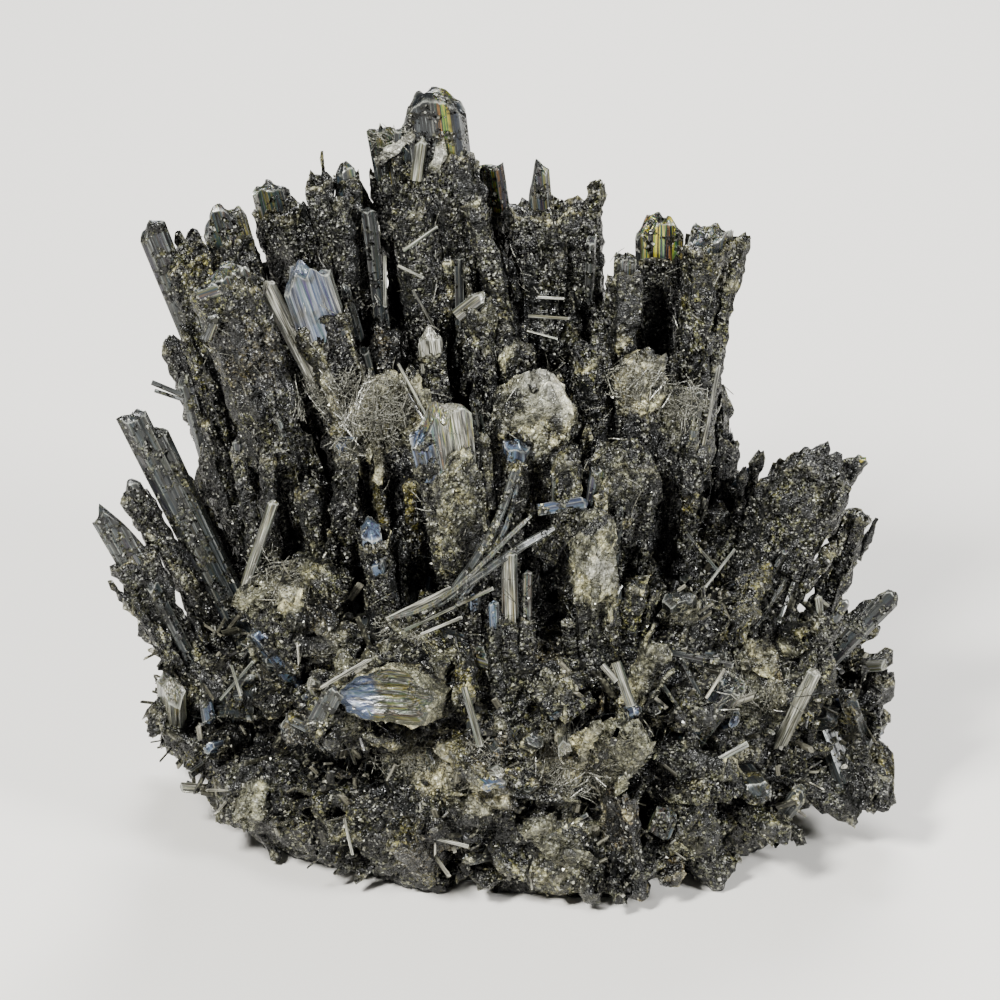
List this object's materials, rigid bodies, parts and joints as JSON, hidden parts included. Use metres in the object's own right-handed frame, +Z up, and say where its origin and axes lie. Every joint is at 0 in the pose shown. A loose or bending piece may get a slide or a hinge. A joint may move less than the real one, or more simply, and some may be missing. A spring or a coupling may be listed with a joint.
{
  "type": "stibnite crystal spray",
  "caption": "Free-standing mineral specimen: stout striated prismatic crystals crusted with druse fan out of a rough root mass cut flat to stand on.",
  "frame": {"origin": "middle of the flat cut under the root mass, where the specimen rests", "axes": "+Z up from the cut, +Y away from the viewer towards the rear crystals, +X to the viewer's right along the spray's width"},
  "size_m": [0.121, 0.0787, 0.1098],
  "materials": {
    "root_rock": "rough druse-crusted matrix, dark grey brown with pale grains",
    "druse_crust": "dark crystal under a sparkling grain crust",
    "striated_stibnite": "bare lead-grey crystal with a metallic lustre and fine lengthwise striations"
  },
  "bodies": {
    "root": {"root_mass": "root_rock", "left_outer_crystals": "druse_crust", "left_back_crystal": "druse_crust", "left_front_crystal": "druse_crust", "slanted_top_crystals": "druse_crust", "narrow_left_crystals": "druse_crust", "slender_rod": "striated_stibnite", "crest_crystals": "druse_crust", "gold_tip_left": "druse_crust", "leaning_column": "druse_crust", "capped_block": "druse_crust", "dark_topped_crystal": "druse_crust", "gold_tip_right": "druse_crust", "right_tall_crystal": "druse_crust", "right_spikes": "striated_stibnite", "right_knob_crystals": "druse_crust", "right_step_crystal": "druse_crust", "right_leaning_crystals": "druse_crust", "right_edge_crystal": "druse_crust", "right_edge_blade": "striated_stibnite", "broken_blue_crystal": "druse_crust", "matted_stub": "druse_crust", "small_block": "druse_crust", "striated_stub": "druse_crust", "pale_capped_crystals": "druse_crust", "jumbled_crystals": "druse_crust", "white_topped_crystals": "druse_crust", "rough_stubs": "druse_crust", "front_broken_crystal": "druse_crust", "front_column": "druse_crust", "front_blades": "striated_stibnite", "small_front_crystal": "druse_crust", "hollow_crystal": "druse_crust", "slender_left_crystals": "druse_crust", "ledge_crystals": "druse_crust", "bright_bar": "striated_stibnite", "thin_left_branches": "druse_crust", "far_left_crystals": "striated_stibnite", "far_left_wedge": "striated_stibnite", "broken_face_crystal": "druse_crust", "fibrous_blade": "druse_crust", "fibrous_slab": "druse_crust", "dark_prism": "striated_stibnite", "crossed_blades": "striated_stibnite", "white_bar": "striated_stibnite", "rear_left_crystals": "druse_crust", "rear_inner_left_crystal": "druse_crust", "rear_middle_crystals": "druse_crust", "rear_right_crystals": "druse_crust", "rear_outer_right_crystals": "druse_crust", "rear_low_crystals": "druse_crust", "rear_low_right_crystal": "druse_crust"}
  },
  "joints": []
}
